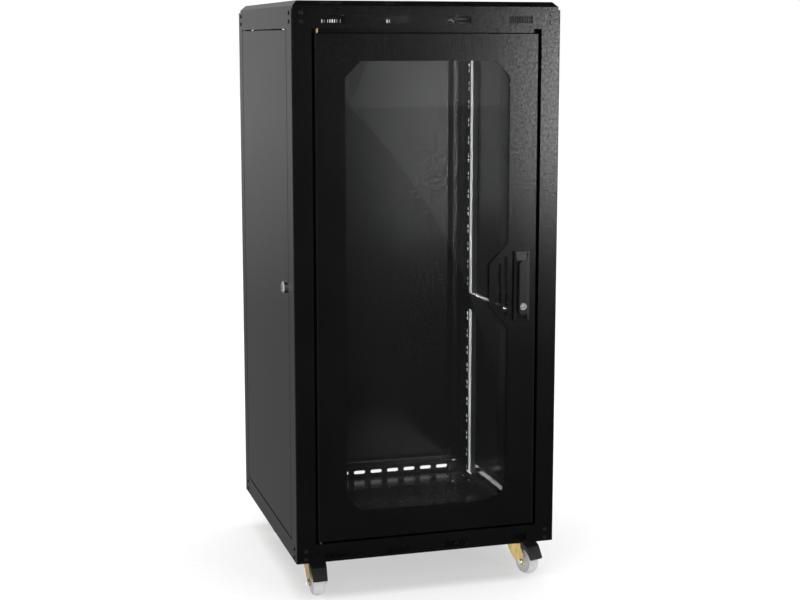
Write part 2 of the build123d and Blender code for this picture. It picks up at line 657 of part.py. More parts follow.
def handle_lever():
    mid = FRAME_Z + (LEVER_Z0 + LEVER_Z1) / 2
    outline = Pos(HANDLE_X, mid) * Rot(0, 0, 90) * SlotOverall(LEVER_Z1 - LEVER_Z0, LEVER_W)
    body = plate_xz(outline, LEVER_Y0 - LEVER_T, LEVER_T)
    body = fillet(body.faces().sort_by(Axis.Y)[0].edges(), LEVER_EDGE_R)
    pocket_x = TONGUE_W / 2 + 0.2
    pocket_z0, pocket_z1 = (SPINDLE_Z + z for z in LEVER_POCKET)
    body -= block(HANDLE_X - pocket_x, HANDLE_X + pocket_x, LEVER_PIN_Y - TONGUE_R - LEVER_GAP, LEVER_Y0 + 1,
                  pocket_z0, pocket_z1)
    relief_z0, relief_z1, relief_depth = LEVER_RELIEF
    relief = Polyline((LEVER_Y0 + 1, SPINDLE_Z + relief_z0), (LEVER_Y0, SPINDLE_Z + relief_z0),
                      (LEVER_Y0 - relief_depth, SPINDLE_Z + relief_z1), (LEVER_Y0 + 1, SPINDLE_Z + relief_z1),
                      close=True)
    body -= plate_yz(make_face(relief), HANDLE_X - LEVER_W, 2 * LEVER_W)
    body -= rod((0, LEVER_PIN_Y, SPINDLE_Z), "X", LEVER_PIN_R, HANDLE_X - LEVER_W, HANDLE_X + LEVER_W)
    front = LEVER_Y0 - LEVER_T
    key = (HANDLE_X, 0, FRAME_Z + KEY_Z)
    return body - rod(key, "Y", KEY_R + RUNNING_GAP, front - 1, front + KEY_DEPTH)


def handle_spindle():
    place = (HANDLE_X, 0, SPINDLE_Z)
    body = rod(place, "Y", SPINDLE_R, BEZEL_Y, CAM_Y0)
    half = TONGUE_W / 2
    body += rod((0, LEVER_PIN_Y, SPINDLE_Z), "X", TONGUE_R, HANDLE_X - half, HANDLE_X + half)
    body += block(HANDLE_X - half, HANDLE_X + half, LEVER_PIN_Y, BEZEL_Y,
                  SPINDLE_Z - TONGUE_R, SPINDLE_Z + TONGUE_R)
    return body - rod((0, LEVER_PIN_Y, SPINDLE_Z), "X", LEVER_PIN_R + RUNNING_GAP,
                      HANDLE_X - half - 1, HANDLE_X + half + 1)


def key_slot(y_front):
    """Key slot for a cylinder that faces the front."""
    width, height, slot_depth = KEY_SLOT
    return block(HANDLE_X - width / 2, HANDLE_X + width / 2, y_front - 1, y_front + slot_depth,
                 FRAME_Z + KEY_Z - height / 2, FRAME_Z + KEY_Z + height / 2)


def cam_plate(length):
    """Cam in X and Y, thickness along +Z, turning about the origin and reaching to +X."""
    outline = Circle(CAM_W / 2) + Pos((length - 1.0) / 2, 0) * Rectangle(length - 1.0, 0.7 * CAM_W)
    outline += Pos(length - 1.0, 0) * Rectangle(2.0, 0.6 * CAM_W)
    return extrude(outline, CAM_T)


cam_reach = OPENING_X - DOOR_STOP - CAM_CLEAR - HANDLE_X
parts["handle_bezel"] = handle_bezel()
parts["handle_lever"] = handle_lever()
parts["handle_pivot_pin"] = rod((0, LEVER_PIN_Y, SPINDLE_Z), "X", LEVER_PIN_R,
                                HANDLE_X - LEVER_W / 2 + LEVER_PIN_INSET,
                                HANDLE_X + LEVER_W / 2 - LEVER_PIN_INSET)
parts["handle_spindle"] = handle_spindle()
parts["handle_cam"] = Pos(HANDLE_X, CAM_Y0 + CAM_T, SPINDLE_Z) * Rot(90, 0, 0) * cam_plate(cam_reach)
key_front = LEVER_Y0 - LEVER_T - KEY_PROUD
key_body = rod((HANDLE_X, 0, FRAME_Z + KEY_Z), "Y", KEY_R, key_front, key_front + KEY_PROUD + KEY_DEPTH)
parts["key_cylinder"] = key_body - key_slot(key_front)


# ---- Side panels ----
def side_panel():
    """Folded panel for the +X side, hinged at its rear edge."""
    half = (PANEL_Y1 - PANEL_Y0) / 2
    z0, z1 = FRAME_Z + BEAM_H + PANEL_GAP, TOP_BEAM_Z - PANEL_GAP
    tray = folded_tray(half, z0, z1, PANEL_FOLD, PANEL_SHEET, 1.6)
    body = Pos(HALF_W, (PANEL_Y0 + PANEL_Y1) / 2, 0) * Rot(0, 0, 90) * tray
    pin = (HALF_W - PANEL_PIN_SETBACK, PANEL_PIN_Y, 0)
    body -= rod(pin, "Z", PANEL_PIN_R, z0 - 1, z1 + 1)
    lock = (0, SIDE_LOCK_Y, FRAME_Z + LOCK_Z)
    return body - rod(lock, "X", LOCK_BODY_R, HALF_W - PANEL_SHEET - 1, HALF_W + 1)


def lock_housing(body_length):
    """Chrome collar along +Z outside the sheet at Z = 0, and its barrel below."""
    collar = Pos(0, 0, LOCK_COLLAR_H / 2) * Cylinder(LOCK_COLLAR_R, LOCK_COLLAR_H)
    collar = chamfer(collar.faces().sort_by(Axis.Z)[-1].edges(), LOCK_BEVEL)
    barrel = Pos(0, 0, -body_length / 2) * Cylinder(LOCK_BODY_R, body_length)
    length = body_length + LOCK_COLLAR_H
    bore = Pos(0, 0, (LOCK_COLLAR_H - body_length) / 2) * Cylinder(LOCK_CORE_R + RUNNING_GAP, length + 2)
    return collar + barrel - bore


def lock_core(body_length, cam_drop, reach):
    """Turning core with a key slot in its face and a cam behind the barrel, reaching to +X."""
    bottom = -body_length - cam_drop
    top = LOCK_COLLAR_H + LOCK_CORE_PROUD
    core = Pos(0, 0, (bottom + top) / 2) * Cylinder(LOCK_CORE_R, top - bottom)
    slot = Pos(0, 0, top) * Box(*LOCK_SLOT)
    return core - slot + Pos(0, 0, bottom) * cam_plate(reach)


side_cam_reach = SIDE_LOCK_Y - (-HALF_D + POST_SIDE_FRONT + PANEL_STOP) - CAM_CLEAR
rear_cam_reach = OPENING_X - DOOR_STOP - CAM_CLEAR - (DOOR_HALF_X - LOCK_EDGE)
SIDE_CAM_DROP = 6.0
REAR_CAM_DROP = 9.0
panel_z0, panel_z1 = FRAME_Z + BEAM_H + PANEL_GAP, TOP_BEAM_Z - PANEL_GAP
for sx, side in ((-1, "left"), (1, "right")):
    parts["side_panel_" + side] = in_quadrant(side_panel(), sx, 1)
    parts["side_hinge_pins_" + side] = hinge_pins(
        sx * (HALF_W - PANEL_PIN_SETBACK), PANEL_PIN_Y, PANEL_PIN_R, PANEL_COLLAR_R,
        panel_z0, panel_z1, PANEL_SHEET, PANEL_GAP)
    facing_side = Pos(HALF_W, SIDE_LOCK_Y, FRAME_Z + LOCK_Z) * Rot(0, 90, 0) * Rot(0, 0, -90)
    housing = facing_side * lock_housing(SIDE_LOCK_BODY)
    core = facing_side * lock_core(SIDE_LOCK_BODY, SIDE_CAM_DROP, side_cam_reach)
    parts["side_lock_housing_" + side] = in_quadrant(housing, sx, 1)
    parts["side_lock_core_" + side] = in_quadrant(core, sx, 1)

facing_rear = Pos(-DOOR_HALF_X + LOCK_EDGE, HALF_D, FRAME_Z + LOCK_Z) * Rot(-90, 0, 0) * Rot(0, 0, 180)
parts["rear_lock_housing"] = facing_rear * lock_housing(REAR_LOCK_BODY)
parts["rear_lock_core"] = facing_rear * lock_core(REAR_LOCK_BODY, REAR_CAM_DROP, rear_cam_reach)


# ---- Casters. Local frame: swivel axis at the origin, the wheel trails to -Y, Z = 0 under the floor ----
def caster_plate():
    half = CASTER_PLATE / 2
    body = block(-half, half, -half, half, -CASTER_PLATE_T, 0)
    body = fillet(body.edges().filter_by(Axis.Z), 6.0)
    body += rod((0, 0, 0), "Z", RACE_R, RACE_END, -CASTER_PLATE_T)
    body += rod((0, 0, 0), "Z", KINGPIN_R, KINGPIN_END, -CASTER_PLATE_T)
    body += rod((0, 0, 0), "Z", KINGPIN_R + KINGPIN_RIM, KINGPIN_END, KINGPIN_RIM_TOP)
    for dx, dy in caster_bolt_places():
        body -= rod((dx, dy, 0), "Z", BOLT_R, -CASTER_PLATE_T - 1, 1)
    return body


def fork_cheek():
    """Side plate of the fork as a sketch in Y and Z: wide at the crown, a round lobe at the axle."""
    top = CROWN_Z
    lobe = Pos(-TRAIL, AXLE_Z) * Circle(LOBE_R)
    back = ThreePointArc((FORK_HALF_L, top - FORK_T), CHEEK_BULGE, CHEEK_TOE[0])
    front = Polyline(*CHEEK_TOE, *CHEEK_FRONT, (-FORK_HALF_L, top), (FORK_HALF_L, top),
                     (FORK_HALF_L, top - FORK_T))
    return lobe + make_face(Curve() + [back, front])


def caster_fork(braked):
    outer = FORK_IN + FORK_T
    body = block(-outer, outer, -FORK_HALF_L, FORK_HALF_L, CROWN_Z - CROWN_T, CROWN_Z)
    body += plate_yz(fork_cheek(), FORK_IN, FORK_T) + plate_yz(fork_cheek(), -outer, FORK_T)
    for x in (-outer, outer):
        body = fillet(body.edges().filter_by(Axis.Y).filter_by(
            lambda e: abs((e @ 0.5).X - x) < 0.01 and abs((e @ 0.5).Z - CROWN_Z) < 0.01), 2.4)
    body -= rod((0, 0, 0), "Z", KINGPIN_R + RUNNING_GAP, CROWN_Z - CROWN_T - 1, CROWN_Z + 1)
    body -= rod((0, -TRAIL, AXLE_Z), "X", AXLE_R, -outer - 1, outer + 1)
    if braked:
        y, z = -PEDAL_PIVOT[0], PEDAL_PIVOT[1]
        body -= rod((0, y, z), "X", PEDAL_PIN_R + RUNNING_GAP, -outer - 1, outer + 1)
    return body


def caster_wheel():
    """Nylon wheel with a crowned tread, dished sides and a longer hub, turned about X."""
    r, w, hub = WHEEL_R, WHEEL_HALF_W, WHEEL_HUB_HALF
    bore = AXLE_R + RUNNING_GAP
    edge_r = r - TREAD_DROP
    tread = RadiusArc((w, edge_r), (-w, edge_r), -(w * w + TREAD_DROP ** 2) / (2 * TREAD_DROP))
    rim = Polyline((-w, edge_r), (-w + 2.0, edge_r - 4.0), (-w + 4.0, 13.0), (-hub, 11.0), (-hub, bore),
                   (hub, bore), (hub, 11.0), (w - 4.0, 13.0), (w - 2.0, edge_r - 4.0), (w, edge_r))
    profile = make_face(Curve() + [tread, rim])
    body = revolve(Plane.XZ * profile, Axis.X)
    return Pos(0, -TRAIL, AXLE_Z) * body


def axle_bolt():
    """Axle through the fork, with its head on one side and its nut on the other."""
    outer = FORK_IN + FORK_T
    place = (0, -TRAIL, AXLE_Z)
    body = rod(place, "X", AXLE_R, -outer, outer)
    nut = extrude(RegularPolygon(NUT_R, 6), NUT_H)
    nut = chamfer(nut.faces().sort_by(Axis.Z)[-1].edges(), NUT_BEVEL)
    for sx in (-1, 1):
        body += Pos(sx * outer, -TRAIL, AXLE_Z) * Rot(0, 90 * sx, 0) * nut
    return body


def brake_pedal():
    """Hood over the wheel's front, on a pin through the fork's cheeks."""
    py, pz = -PEDAL_PIVOT[0], PEDAL_PIVOT[1]
    clear = WHEEL_R + PEDAL_GAP

    def off_wheel(angle):
        turn = math.radians(angle)
        return (-TRAIL - clear * math.cos(turn), AXLE_Z + clear * math.sin(turn))

    back, low, high = PEDAL_BACK
    outline = Polyline(off_wheel(94), (py + back, pz + low), (py + back, pz + high), *PEDAL_TOP, off_wheel(20))
    under = ThreePointArc(off_wheel(20), off_wheel(57), off_wheel(94))
    profile = make_face(Curve() + [outline, under])
    half = FORK_IN - PEDAL_SIDE_GAP
    tongue = plate_yz(profile, -half, 2 * half)
    hood_area = Polyline(*HOOD_EDGE, (-90.0, -58.0), (-90.0, 0.0), close=True)
    hood = plate_yz(profile & make_face(hood_area), -PEDAL_W_TOP / 2, PEDAL_W_TOP)
    top, lip = PEDAL_W_TOP / 2, PEDAL_W_LIP / 2
    taper = Polyline((-top, 0.0), (top, 0.0), (top, -40.0), (lip, -74.0), (-lip, -74.0), (-top, -40.0),
                     close=True)
    hood &= Pos(0, 0, -60) * extrude(make_face(taper), 60)
    body = tongue + hood
    outer = FORK_IN + FORK_T
    return body + rod((0, py, pz), "X", PEDAL_PIN_R, -outer - 1.0, outer + 1.0)


def caster_place(side_x, side_y):
    """Position and heading of one caster. Turned by 0, its wheel trails to the front."""
    turn = CASTER_TURN[quadrant_name(side_x, side_y)]
    return Pos(side_x * CASTER_X, side_y * CASTER_Y, FRAME_Z) * Rot(0, 0, turn)


plates = []
bolts = []
for sx, sy in QUADRANTS:
    name = quadrant_name(sx, sy)
    braked = sy < 0
    place = caster_place(sx, sy)
    parts["caster_fork_" + name] = place * caster_fork(braked)
    parts["caster_wheel_" + name] = place * caster_wheel()
    parts["caster_axle_" + name] = place * axle_bolt()
    if braked:
        parts["brake_pedal_" + name] = place * brake_pedal()
    corner = Pos(sx * CASTER_X, sy * CASTER_Y, FRAME_Z)
    plates.append(corner * caster_plate())
    for dx, dy in caster_bolt_places():
        bolt = rod((dx, dy, 0), "Z", BOLT_R, -CASTER_PLATE_T, STEEL + FLOOR_SHEET + 2.0)
        head = extrude(RegularPolygon(BOLT_HEAD_R, 6), -BOLT_HEAD_H)
        bolts.append(corner * (bolt + Pos(dx, dy, -CASTER_PLATE_T) * head))
parts["caster_plates"] = Compound(children=plates)
parts["caster_bolts"] = Compound(children=bolts)


os.makedirs("parts", exist_ok=True)
for name, shape in parts.items():
    export_step(shape, "parts/" + name + ".step")
print(len(parts), "nodes written")
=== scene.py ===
"""Looks of the network server rack cabinet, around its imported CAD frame. Metres, Z up, front towards -Y."""
import json
import math

import bmesh
import bpy
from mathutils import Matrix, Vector


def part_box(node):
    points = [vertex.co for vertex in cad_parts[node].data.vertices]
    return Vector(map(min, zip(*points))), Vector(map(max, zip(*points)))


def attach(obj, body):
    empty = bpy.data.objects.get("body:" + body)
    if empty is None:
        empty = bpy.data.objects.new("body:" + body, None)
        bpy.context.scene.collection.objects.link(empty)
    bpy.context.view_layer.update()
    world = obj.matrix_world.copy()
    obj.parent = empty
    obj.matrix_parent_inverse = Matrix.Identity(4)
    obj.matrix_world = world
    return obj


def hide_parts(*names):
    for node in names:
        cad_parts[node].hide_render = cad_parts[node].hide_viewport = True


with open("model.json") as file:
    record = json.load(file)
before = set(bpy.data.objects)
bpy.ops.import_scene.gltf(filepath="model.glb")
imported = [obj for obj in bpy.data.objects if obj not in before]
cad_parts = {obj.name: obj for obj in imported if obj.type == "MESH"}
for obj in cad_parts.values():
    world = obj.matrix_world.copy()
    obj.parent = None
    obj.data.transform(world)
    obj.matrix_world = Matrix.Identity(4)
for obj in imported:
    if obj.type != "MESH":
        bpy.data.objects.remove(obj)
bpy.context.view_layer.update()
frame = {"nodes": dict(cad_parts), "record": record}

# ---- View ----
LENS = 68.62
SENSOR = 36.0
SHIFT_Y = -0.032
CAMERA = (-0.9811, -3.4376, 1.2234)
PITCH = math.radians(8.709)
YAW = math.radians(16.282)

camera_data = bpy.data.cameras.new("camera")
camera_data.lens = LENS
camera_data.sensor_width = SENSOR
camera_data.shift_y = SHIFT_Y
camera_data.dof.use_dof = False
camera = bpy.data.objects.new("camera", camera_data)
camera.location = CAMERA
camera.rotation_euler = (math.pi / 2 - PITCH, 0.0, -YAW)
bpy.context.scene.collection.objects.link(camera)
bpy.context.scene.camera = camera
bpy.context.scene.view_settings.view_transform = "Standard"


# ---- Node helpers ----
class Nodes:
    """A node tree with its output cleared, and short calls that add nodes to it."""

    def __init__(self, tree):
        self.tree = tree
        tree.nodes.clear()

    def add(self, kind, inputs=None, **settings):
        node = self.tree.nodes.new(kind)
        for name, value in settings.items():
            setattr(node, name, value)
        for name, value in (inputs or {}).items():
            self.put(node.inputs[name], value)
        return node

    def put(self, socket, value):
        if isinstance(value, bpy.types.NodeSocket):
            self.tree.links.new(value, socket)
        else:
            socket.default_value = value

    def place(self, stretch=(1.0, 1.0, 1.0)):
        """Object coordinates in metres, stretched along each axis."""
        coords = self.add("ShaderNodeTexCoord").outputs["Object"]
        return self.add("ShaderNodeMapping", {"Vector": coords, "Scale": stretch}).outputs[0]

    def noise(self, scale, detail=2.0, roughness=0.5, stretch=(1.0, 1.0, 1.0)):
        inputs = {"Vector": self.place(stretch), "Scale": scale,
                  "Detail": detail, "Roughness": roughness}
        return self.add("ShaderNodeTexNoise", inputs).outputs["Fac"]

    def cells(self, scale, feature="F1"):
        inputs = {"Vector": self.place(), "Scale": scale}
        return self.add("ShaderNodeTexVoronoi", inputs, feature=feature).outputs["Distance"]

    def span(self, value, low, high, from_low=0.0, from_high=1.0):
        """Value mapped from one range onto another, clamped."""
        inputs = {"Value": value, "From Min": from_low, "From Max": from_high,
                  "To Min": low, "To Max": high}
        return self.add("ShaderNodeMapRange", inputs).outputs[0]

    def math(self, operation, a, b=0.0):
        node = self.add("ShaderNodeMath", operation=operation)
        self.put(node.inputs[0], a)
        self.put(node.inputs[1], b)
        return node.outputs[0]

    def ramp(self, value, *stops):
        """Colour ramp with (position, colour) stops."""
        node = self.add("ShaderNodeValToRGB", {"Fac": value})
        ramp = node.color_ramp
        while len(ramp.elements) < len(stops):
            ramp.elements.new(0.5)
        for element, (position, colour) in zip(ramp.elements, stops):
            element.position = position
            element.color = (*colour, 1.0)
        return node.outputs["Color"]

    def bump(self, height, strength, distance):
        inputs = {"Height": height, "Strength": strength, "Distance": distance}
        return self.add("ShaderNodeBump", inputs).outputs["Normal"]


def material(name):
    made = bpy.data.materials.new(name)
    made.use_nodes = True
    return made, Nodes(made.node_tree)


def finish_material(nodes, shader):
    nodes.add("ShaderNodeOutputMaterial", {"Surface": shader.outputs[0]})


# ---- Materials ----
GLASS_MIRROR = 0.043  # share of light that the pane mirrors straight on
SCHLICK_POWER = 5.0


def powder_coat():
    """Black powder coat: fine orange-peel grain that glints, uneven gloss and a few dull specks."""
    made, n = material("black_powder_coat")
    grain = n.noise(260.0, detail=2.0, roughness=0.5)
    peel = n.cells(700.0, feature="SMOOTH_F1")
    patches = n.noise(7.0, detail=3.0)
    specks = n.span(n.cells(190.0), 1.0, 0.0, 0.0, 0.16)
    height = n.math("ADD", n.math("MULTIPLY", peel, 0.12), grain)
    tone = n.math("ADD", n.math("MULTIPLY", grain, 0.6), n.math("MULTIPLY", patches, 0.4))
    colour = n.ramp(tone, (0.3, (0.0020, 0.0020, 0.0021)), (0.7, (0.0040, 0.0040, 0.0042)))
    glint = n.ramp(n.noise(140.0, detail=3.0, roughness=0.6),
                   (0.38, (0.55, 0.55, 0.55)), (0.62, (1.0, 1.0, 1.0)))
    gloss = n.math("ADD", n.span(patches, 0.17, 0.21), n.math("MULTIPLY", specks, 0.10))
    shader = n.add("ShaderNodeBsdfPrincipled", {
        "Base Color": colour,
        "Roughness": gloss,
        "Specular IOR Level": 0.46,
        "Specular Tint": glint,
        "Normal": n.bump(height, 0.25, 0.0005),
    })
    finish_material(n, shader)
    return made


def gloss_coat():
    """Smooth black paint on the floor plate, with faint waves and wiped dust."""
    made, n = material("black_gloss_coat")
    waves = n.noise(9.0, detail=2.0)
    dust = n.noise(60.0, detail=6.0, roughness=0.7)
    colour = n.ramp(dust, (0.35, (0.008, 0.008, 0.009)), (0.75, (0.018, 0.018, 0.019)))
    shader = n.add("ShaderNodeBsdfPrincipled", {
        "Base Color": colour,
        "Roughness": n.span(dust, 0.18, 0.32, 0.3, 0.8),
        "Coat Weight": 0.3,
        "Coat Roughness": 0.16,
        "Normal": n.bump(waves, 0.15, 0.002),
    })
    finish_material(n, shader)
    return made


def bright_zinc():
    """Bright zinc plate: rolling streaks along Z, soft clouds and a faint spangle in its gloss."""
    made, n = material("bright_zinc")
    streaks = n.noise(260.0, detail=4.0, stretch=(1.0, 1.0, 0.05))
    spangle = n.cells(120.0)
    clouds = n.noise(30.0, detail=3.0)
    tone = n.math("ADD", n.math("MULTIPLY", streaks, 0.5), n.math("MULTIPLY", clouds, 0.5))
    shader = n.add("ShaderNodeBsdfPrincipled", {
        "Base Color": n.ramp(tone, (0.25, (0.62, 0.63, 0.65)), (0.75, (0.83, 0.84, 0.86))),
        "Metallic": 1.0,
        "Roughness": n.math("ADD", n.span(streaks, 0.24, 0.36), n.math("MULTIPLY", spangle, 0.08)),
        "Normal": n.bump(streaks, 0.12, 0.0002),
    })
    finish_material(n, shader)
    return made


def yellow_zinc():
    """Yellow passivated zinc: gold with green and pink blooms that run down the metal."""
    made, n = material("yellow_zinc")
    bloom = n.noise(150.0, detail=2.0, roughness=0.5, stretch=(1.0, 1.0, 0.3))
    fine = n.noise(700.0, detail=3.0)
    colour = n.ramp(
        bloom,
        (0.30, (0.26, 0.42, 0.12)),
        (0.42, (0.50, 0.41, 0.12)),
        (0.52, (0.64, 0.46, 0.15)),
        (0.62, (0.66, 0.38, 0.26)),
        (0.74, (0.40, 0.42, 0.30)),
    )
    shader = n.add("ShaderNodeBsdfPrincipled", {
        "Base Color": colour,
        "Metallic": 1.0,
        "Roughness": n.span(fine, 0.24, 0.40),
        "Normal": n.bump(fine, 0.15, 0.0001),
    })
    finish_material(n, shader)
    return made


def black_screws():
    """Black phosphated steel, a little worn to grey."""
    made, n = material("black_screws")
    wear = n.noise(900.0, detail=4.0, roughness=0.65)
    shader = n.add("ShaderNodeBsdfPrincipled", {
        "Base Color": n.ramp(wear, (0.35, (0.006, 0.006, 0.006)), (0.75, (0.02, 0.02, 0.021))),
        "Metallic": 0.1,
        "Roughness": n.span(wear, 0.22, 0.12),
        "Normal": n.bump(wear, 0.2, 0.0001),
    })
    finish_material(n, shader)
    return made


def clear_glass():
    """Thin clear pane: see-through straight on, and a mirror at a grazing angle, by Schlick's rule."""
    made, n = material("clear_glass")
    facing = n.add("ShaderNodeLayerWeight", {"Blend": 0.5}).outputs["Facing"]
    mirror = n.span(n.math("POWER", facing, SCHLICK_POWER), GLASS_MIRROR, 1.0)
    smear = n.noise(14.0, detail=4.0, roughness=0.6, stretch=(1.0, 1.0, 0.5))
    through = n.add("ShaderNodeBsdfTransparent", {
        "Color": n.ramp(smear, (0.3, (0.955, 0.968, 0.966)), (0.8, (0.972, 0.980, 0.980))),
    })
    shine = n.add("ShaderNodeBsdfGlossy", {
        "Color": (1.0, 1.0, 1.0, 1.0),
        "Roughness": n.span(smear, 0.0, 0.03, 0.45, 0.8),
    })
    mix = n.add("ShaderNodeMixShader", {0: mirror, 1: through.outputs[0], 2: shine.outputs[0]})
    finish_material(n, mix)
    return made


def plain(name, dark, light, rough, scale, metal=0.0, bump=0.2, depth=0.0001, **extra):
    """Material with fine grain in its colour, roughness and relief."""
    made, n = material(name)
    grain = n.noise(scale, detail=4.0, roughness=0.6)
    inputs = {
        "Base Color": n.ramp(grain, (0.3, dark), (0.7, light)),
        "Metallic": metal,
        "Roughness": n.span(grain, rough[0], rough[1], 0.3, 0.7),
        "Normal": n.bump(grain, bump, depth),
    }
    inputs.update(extra)
    finish_material(n, n.add("ShaderNodeBsdfPrincipled", inputs))
    return made


MATERIALS = {
    "black_powder_coat": powder_coat(),
    "black_gloss_coat": gloss_coat(),
    "bright_zinc": bright_zinc(),
    "yellow_zinc": yellow_zinc(),
    "black_screws": black_screws(),
    "clear_glass": clear_glass(),
    "black_rubber": plain("black_rubber", (0.012,) * 3, (0.026,) * 3, (0.62, 0.78), 800.0, bump=0.4),
    "black_plastic": plain("black_plastic", (0.005,) * 3, (0.009,) * 3, (0.24, 0.32), 1400.0, bump=0.05,
                           **{"Specular IOR Level": 0.36}),
    "chrome": plain("chrome", (0.72, 0.72, 0.74), (0.84, 0.84, 0.86), (0.14, 0.26), 500.0,
                    metal=1.0, bump=0.05),
    "white_nylon": plain("white_nylon", (0.60, 0.61, 0.61), (0.68, 0.69, 0.69), (0.38, 0.52), 260.0,
                         **{"Subsurface Weight": 0.15, "Subsurface Radius": (0.004, 0.003, 0.003)}),
}
# Pedal plastic: rougher and more matt than black_plastic, with a lighter base colour that is painted light,
# since little light reaches the pedals.
PEDAL_PLASTIC_PAINTED_LIGHT = plain("pedal_plastic_painted_light", (0.011,) * 3, (0.019,) * 3, (0.34, 0.46), 900.0, bump=0.2)

SLOTS = {part["node"]: part["material_slot"] for part in frame["record"]["subparts"]}
for node, obj in frame["nodes"].items():
    obj.data.materials.clear()
    obj.data.materials.append(MATERIALS[SLOTS[node]])


# ---- Pieces ----
HANDLE_LO, HANDLE_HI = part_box("handle_bezel")
LEVER_LO, LEVER_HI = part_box("handle_lever")
PLATE_CORNER = 0.0026
PLATE_EDGE = ((0.0, 0.0011), (0.0004, 0.0004), (0.0013, 0.0))  # insets and depths, from the side to the face
SCOOP_RIM = 0.0042  # width of the face left around the scoops
SCOOP_CORNER = 0.0002
SCOOP_LIP = (0.0004, 0.0005)  # inset and depth
SCOOP_WALL = 0.0010
END_DEPTH = 0.0042
NECK_DEPTH = 0.0010
NECK_GAP = 0.0008  # beside the lever
NECK_OVERLAP = 0.004  # how far each scoop reaches under the lever's end
CORNER_STEPS = 5
SAME_POINT = 1e-6
SHARP_ANGLE = math.radians(28)
WELD_DISTANCE = 1e-5
FLAT_ANGLE = math.radians(1.0)
EDGE_ANGLE = math.radians(35)
CORNERS = ("front_left", "front_right", "rear_left", "rear_right")
BRAKED = CORNERS[:2]
PEDAL_EDGE = 0.0022
FORK_EDGE = 0.0005


def rounded(corners, radius):
    """Outline through these corners, each rounded with the same number of points."""
    points = []
    for i, corner in enumerate(corners):
        corner, before = Vector(corner), Vector(corners[i - 1])
        after = Vector(corners[(i + 1) % len(corners)])
        start = corner + (before - corner).normalized() * radius
        end = corner + (after - corner).normalized() * radius
        for step in range(CORNER_STEPS + 1):
            t = step / CORNER_STEPS
            points.append(start * (1 - t) ** 2 + corner * 2 * t * (1 - t) + end * t ** 2)
    return points


def add_piece(name, points, faces, paint):
    """Closed, smooth-shaded mesh with merged doubles and outward normals."""
    mesh = bpy.data.meshes.new(name)
    mesh.from_pydata(points, [], faces)
    work = bmesh.new()
    work.from_mesh(mesh)
    bmesh.ops.remove_doubles(work, verts=work.verts, dist=SAME_POINT)
    bmesh.ops.recalc_face_normals(work, faces=work.faces)
    work.to_mesh(mesh)
    work.free()
    mesh.materials.append(MATERIALS[paint])
    made = bpy.data.objects.new(name, mesh)
    bpy.context.scene.collection.objects.link(made)
    for face in mesh.polygons:
        face.use_smooth = True
    mesh.set_sharp_from_angle(angle=SHARP_ANGLE)
    return made


def handle_plate():
    """Raised plate under the lever, with a scoop at each end that gets shallower towards the lever."""
    x0, x1, z0, z1 = HANDLE_LO[0], HANDLE_HI[0], HANDLE_LO[2], HANDLE_HI[2]
    front, back = HANDLE_LO[1], HANDLE_HI[1]
    neck_x0, neck_x1 = LEVER_LO[0] - NECK_GAP, LEVER_HI[0] + NECK_GAP
    neck_z0, neck_z1 = LEVER_LO[2] + NECK_OVERLAP, LEVER_HI[2] - NECK_OVERLAP

    def outer(inset, y):
        a, b, c, d = x0 + inset, x1 - inset, z0 + inset, z1 - inset
        corners = [(a, d), (b, d), (b, neck_z1), (b, neck_z0),
                   (b, c), (a, c), (a, neck_z0), (a, neck_z1)]
        return [(x, y, z) for x, z in rounded(corners, PLATE_CORNER)]

    def scoop(inset, depth_of):
        a, b = x0 + SCOOP_RIM + inset, x1 - SCOOP_RIM - inset
        c, d = z0 + SCOOP_RIM + inset, z1 - SCOOP_RIM - inset
        e, f = neck_x0 + inset, neck_x1 - inset
        corners = [(a, d), (b, d), (f, neck_z1), (f, neck_z0),
                   (b, c), (a, c), (e, neck_z0), (e, neck_z1)]
        return [(x, front + depth_of(z), z) for x, z in rounded(corners, SCOOP_CORNER)]

    def depth(z):
        past = max(z - neck_z1, neck_z0 - z, 0.0) / (z1 - SCOOP_RIM - neck_z1)
        return NECK_DEPTH + (END_DEPTH - NECK_DEPTH) * min(past, 1.0)

    lip_inset, lip_depth = SCOOP_LIP
    rings = [outer(0.0, back)]
    rings += [outer(inset, front + edge_depth) for inset, edge_depth in PLATE_EDGE]
    rings += [scoop(0.0, lambda z: 0.0), scoop(lip_inset, lambda z: lip_depth), scoop(SCOOP_WALL, depth)]
    count = len(rings[0])
    points = [point for ring in rings for point in ring]
    faces = [(r * count + i, r * count + (i + 1) % count,
              (r + 1) * count + (i + 1) % count, (r + 1) * count + i)
             for r in range(len(rings) - 1) for i in range(count)]
    faces.append(tuple(range(count)))

    # The scoops' floor is three faces: the upper scoop, the lower scoop and the neck under the lever.
    last, per_corner = (len(rings) - 1) * count, CORNER_STEPS + 1
    middle = [last + start + per_corner // 2 for start in range(0, count, per_corner)]

    def run(first, until):
        """Points of the last ring from one to another, counted on past the ring's start."""
        return [last + i % count for i in range(first - last, until - last + 1)]

    faces.append(tuple(run(middle[7], middle[2] + count)))
    faces.append(tuple(run(middle[3], middle[6])))
    faces.append(tuple(run(middle[2], middle[3]) + run(middle[6], middle[7])))
    made = add_piece("handle_plate", points, faces, "black_plastic")
    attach(made, "front_door")
    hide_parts("handle_bezel")


def soften(nodes, width, segments=3):
    """Small rounded edges on CAD nodes, whose faces are joined first because they share no points."""
    for node in nodes:
        obj = frame["nodes"][node]
        weld = obj.modifiers.new("joined_faces", "WELD")
        weld.merge_threshold = WELD_DISTANCE
        merge = obj.modifiers.new("merge_flat_faces", "DECIMATE")
        merge.decimate_type = "DISSOLVE"
        merge.angle_limit = FLAT_ANGLE
        bevel = obj.modifiers.new("rounded_edges", "BEVEL")
        bevel.width = width
        bevel.segments = segments
        bevel.limit_method = "ANGLE"
        bevel.angle_limit = EDGE_ANGLE
        bevel.harden_normals = True


